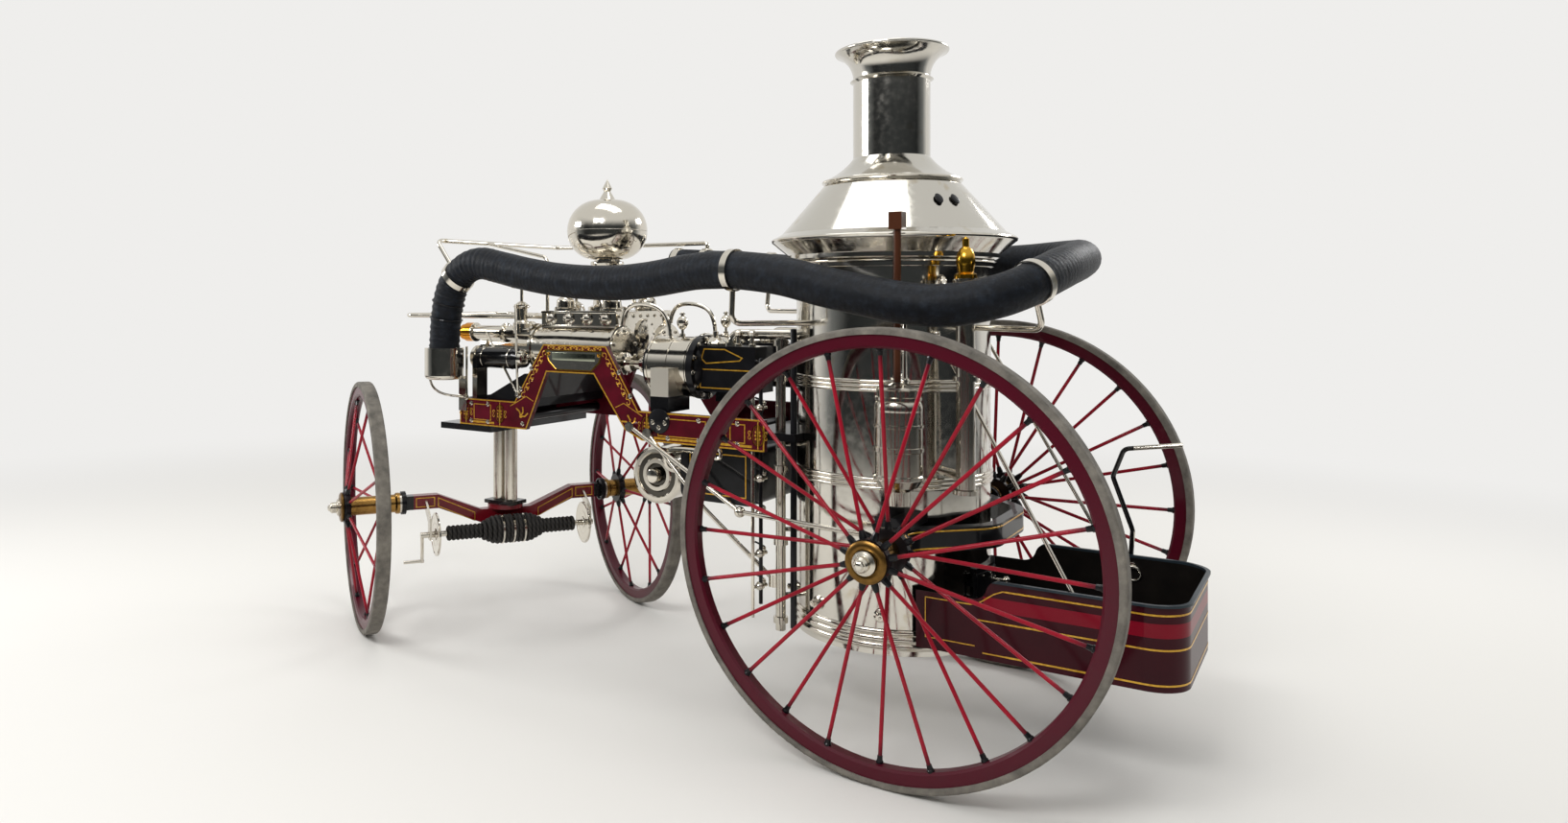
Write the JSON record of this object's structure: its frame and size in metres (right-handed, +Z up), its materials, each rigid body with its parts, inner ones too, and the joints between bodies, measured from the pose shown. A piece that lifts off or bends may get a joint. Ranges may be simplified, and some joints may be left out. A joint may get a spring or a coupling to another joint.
{
  "type": "hand-drawn steam fire engine",
  "caption": "Steam fire engine: upright boiler over tall rear wheels, steam pump in a crane-neck frame, fore-carriage that turns under it, stowed suction hose.",
  "frame": {"origin": "centre of the bounding box's bottom face, on the ground", "axes": "+X to the rear of the engine, +Y to its right-hand side, +Z up"},
  "size_m": [4.058, 1.8968, 2.6101],
  "materials": {
    "axle_paint": "dark red enamel with gold lining",
    "black_enamel": "gloss black with gold lining",
    "drag_rope": "tarred black rope",
    "frame_paint": "deep maroon enamel with gold lining",
    "hose_rubber": "blue-black rubbered canvas",
    "hub_brass": "dull brass hub",
    "polished_nickel": "mirror-polished nickel plate",
    "tray_paint": "dark red enamel, black inside",
    "tyre_rubber": "weathered grey rubber",
    "wheel_paint": "crimson spokes, dark maroon rim"
  },
  "bodies": {
    "chassis": {"frame_sides": "frame_paint", "frame_cross_members": "frame_paint", "neck_plates": "polished_nickel", "boiler_shell": "polished_nickel", "boiler_bands": "polished_nickel", "smoke_hood": "polished_nickel", "door_hinge": "polished_nickel", "boiler_feet": "black_enamel", "rear_axle": "black_enamel", "coal_tray": "tray_paint", "tray_stays": "polished_nickel", "front_pedestal": "polished_nickel", "steam_cylinders": "polished_nickel", "valve_chests": "black_enamel", "pump_body": "polished_nickel", "air_chamber": "polished_nickel", "feed_canister": "polished_nickel", "boiler_columns": "polished_nickel", "truss_rods": "polished_nickel", "side_tank": "black_enamel", "suction_drum": "polished_nickel", "pump_connections": "polished_nickel", "front_cylinders": "black_enamel", "steam_pipes": "polished_nickel", "grate_lever": "black_enamel", "suction_hose": "hose_rubber", "hose_rails": "polished_nickel", "hose_cup": "polished_nickel"},
    "fore_carriage": {"front_axle": "axle_paint", "pole_socket": "black_enamel"},
    "fire_door_leaf": {"fire_door": "black_enamel"},
    "front_left": {"front_left_tyre": "tyre_rubber", "front_left_wheel": "wheel_paint", "front_left_hub": "hub_brass"},
    "front_right": {"front_right_tyre": "tyre_rubber", "front_right_wheel": "wheel_paint", "front_right_hub": "hub_brass"},
    "rear_left": {"rear_left_tyre": "tyre_rubber", "rear_left_wheel": "wheel_paint", "rear_left_hub": "hub_brass"},
    "rear_right": {"rear_right_tyre": "tyre_rubber", "rear_right_wheel": "wheel_paint", "rear_right_hub": "hub_brass"},
    "rope_drum": {"rope_reel": "polished_nickel", "reel_rope": "drag_rope"}
  },
  "joints": [
    {"name": "steering", "type": "hinge", "parent": "chassis", "child": "fore_carriage", "pos_m": [-1.12097, 0, 0.569], "axis": [0, 0, 1], "range_deg": [-42, 108]},
    {"name": "front_left_roll", "type": "hinge", "parent": "fore_carriage", "child": "front_left", "pos_m": [-1.50766, -0.59546, 0.605], "axis": [0.5446, 0.8387, 0], "continuous": true},
    {"name": "front_right_roll", "type": "hinge", "parent": "fore_carriage", "child": "front_right", "pos_m": [-0.73427, 0.59546, 0.605], "axis": [0.5446, 0.8387, 0], "continuous": true},
    {"name": "rear_left_roll", "type": "hinge", "parent": "chassis", "child": "rear_left", "pos_m": [1.15903, -0.71, 0.762], "axis": [0, 1, 0], "continuous": true},
    {"name": "rear_right_roll", "type": "hinge", "parent": "chassis", "child": "rear_right", "pos_m": [1.15903, 0.71, 0.762], "axis": [0, 1, 0], "continuous": true},
    {"name": "rope_drum_turn", "type": "hinge", "parent": "fore_carriage", "child": "rope_drum", "pos_m": [-1.022, -0.06427, 0.462], "axis": [0.5446, 0.8387, 0], "continuous": true},
    {"name": "fire_door_swing", "type": "hinge", "parent": "chassis", "child": "fire_door_leaf", "pos_m": [1.30553, -0.14, 0.455], "axis": [0, 0, -1], "range_deg": [0, 110]}
  ]
}
